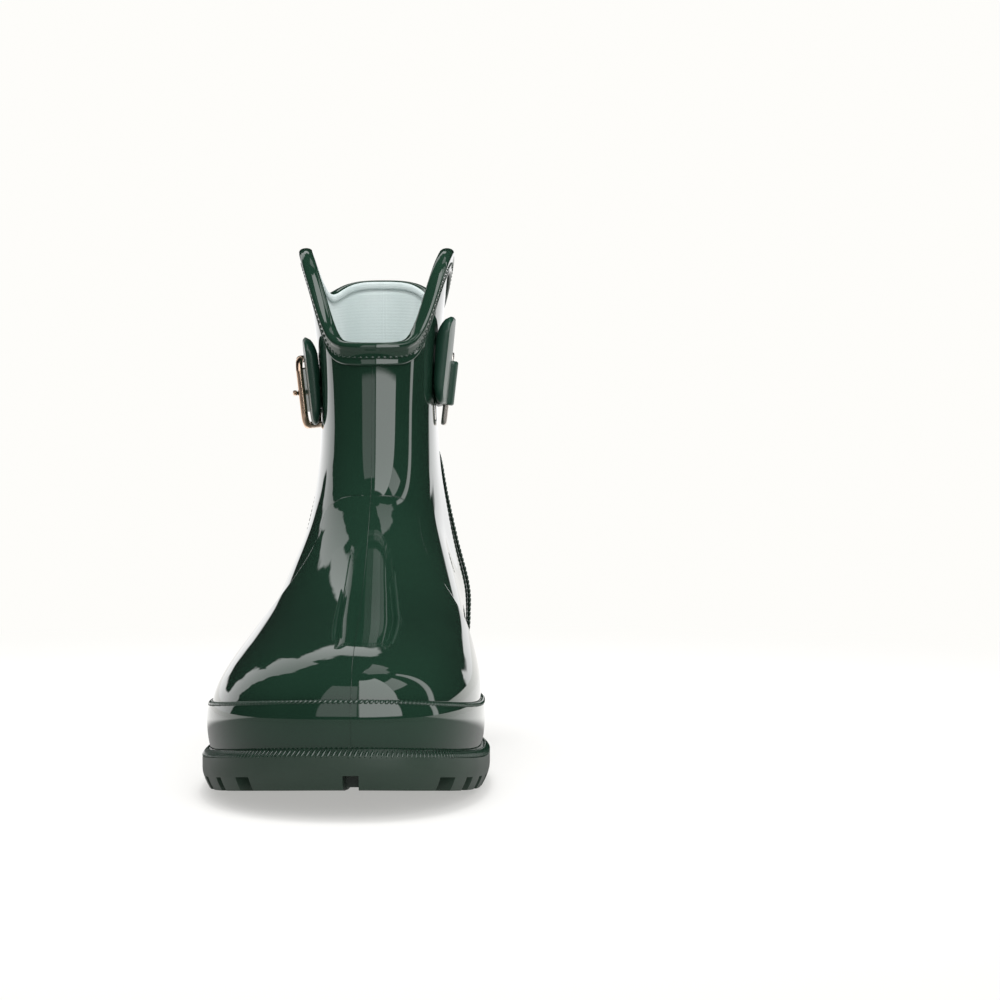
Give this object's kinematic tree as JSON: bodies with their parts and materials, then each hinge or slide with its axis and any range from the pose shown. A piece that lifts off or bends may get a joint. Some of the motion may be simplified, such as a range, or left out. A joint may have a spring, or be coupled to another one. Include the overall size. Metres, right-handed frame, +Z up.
{
  "type": "rain boot",
  "caption": "Ankle-height moulded rubber rain boot for the right foot, with a buckled strap, lugged sole and textile lining.",
  "frame": {"origin": "on the floor, on the flat tread of the heel under the middle of the ankle", "axes": "+Z up, the toe points to -Y, +X is the inner side of the right foot"},
  "size_m": [0.1038, 0.2639, 0.2019],
  "materials": {
    "gloss_rubber": "high-gloss dark green moulded rubber",
    "sole_rubber": "satin-gloss dark green moulded rubber",
    "strap_rubber": "satin dark green strap",
    "lining_knit": "pale grey knitted lining",
    "insole_foam": "textile-faced foam",
    "board_fibre": "pressed fibre board",
    "rose_metal": "polished rose-gold plated metal",
    "steel": "plated steel"
  },
  "bodies": {
    "root": {"outsole": "sole_rubber", "welt_strip": "sole_rubber", "foxing_band": "gloss_rubber", "upper_shell": "gloss_rubber", "vamp_overlay": "gloss_rubber", "heel_counter": "gloss_rubber", "collar_binding": "gloss_rubber", "lining_sock": "lining_knit", "insole_board": "board_fibre", "insole": "insole_foam", "back_strap": "strap_rubber", "buckle_strap": "strap_rubber", "ring_strap": "strap_rubber", "outer_rivets": "strap_rubber", "inner_rivets": "strap_rubber", "rivet_spacers": "strap_rubber", "rivet_washers": "steel"},
    "frame_body": {"buckle_frame": "rose_metal"},
    "prong_body": {"buckle_prong": "rose_metal"},
    "ring_body": {"side_ring": "steel"},
    "keeper_body": {"strap_keeper": "strap_rubber"}
  },
  "joints": [
    {"name": "buckle_frame_swing", "type": "hinge", "parent": "root", "child": "frame_body", "pos_m": [-0.02634, 0.017, 0.1443], "axis": [0.1132, 0, -0.9936], "range_deg": [0, 8]},
    {"name": "prong_pivot", "type": "hinge", "parent": "frame_body", "child": "prong_body", "pos_m": [-0.02634, 0.017, 0.1443], "axis": [0.1132, 0, -0.9936], "range_deg": [0, 30]},
    {"name": "side_ring_slide", "type": "slide", "parent": "root", "child": "ring_body", "axis": [0.1132, 0, 0.9936], "range_m": [-0.0008, 0.004]},
    {"name": "keeper_slide_round", "type": "hinge", "parent": "root", "child": "keeper_body", "pos_m": [0.01537, 0.0167, 0.1443], "axis": [0, 0, -1], "range_deg": [-3, 6]}
  ]
}
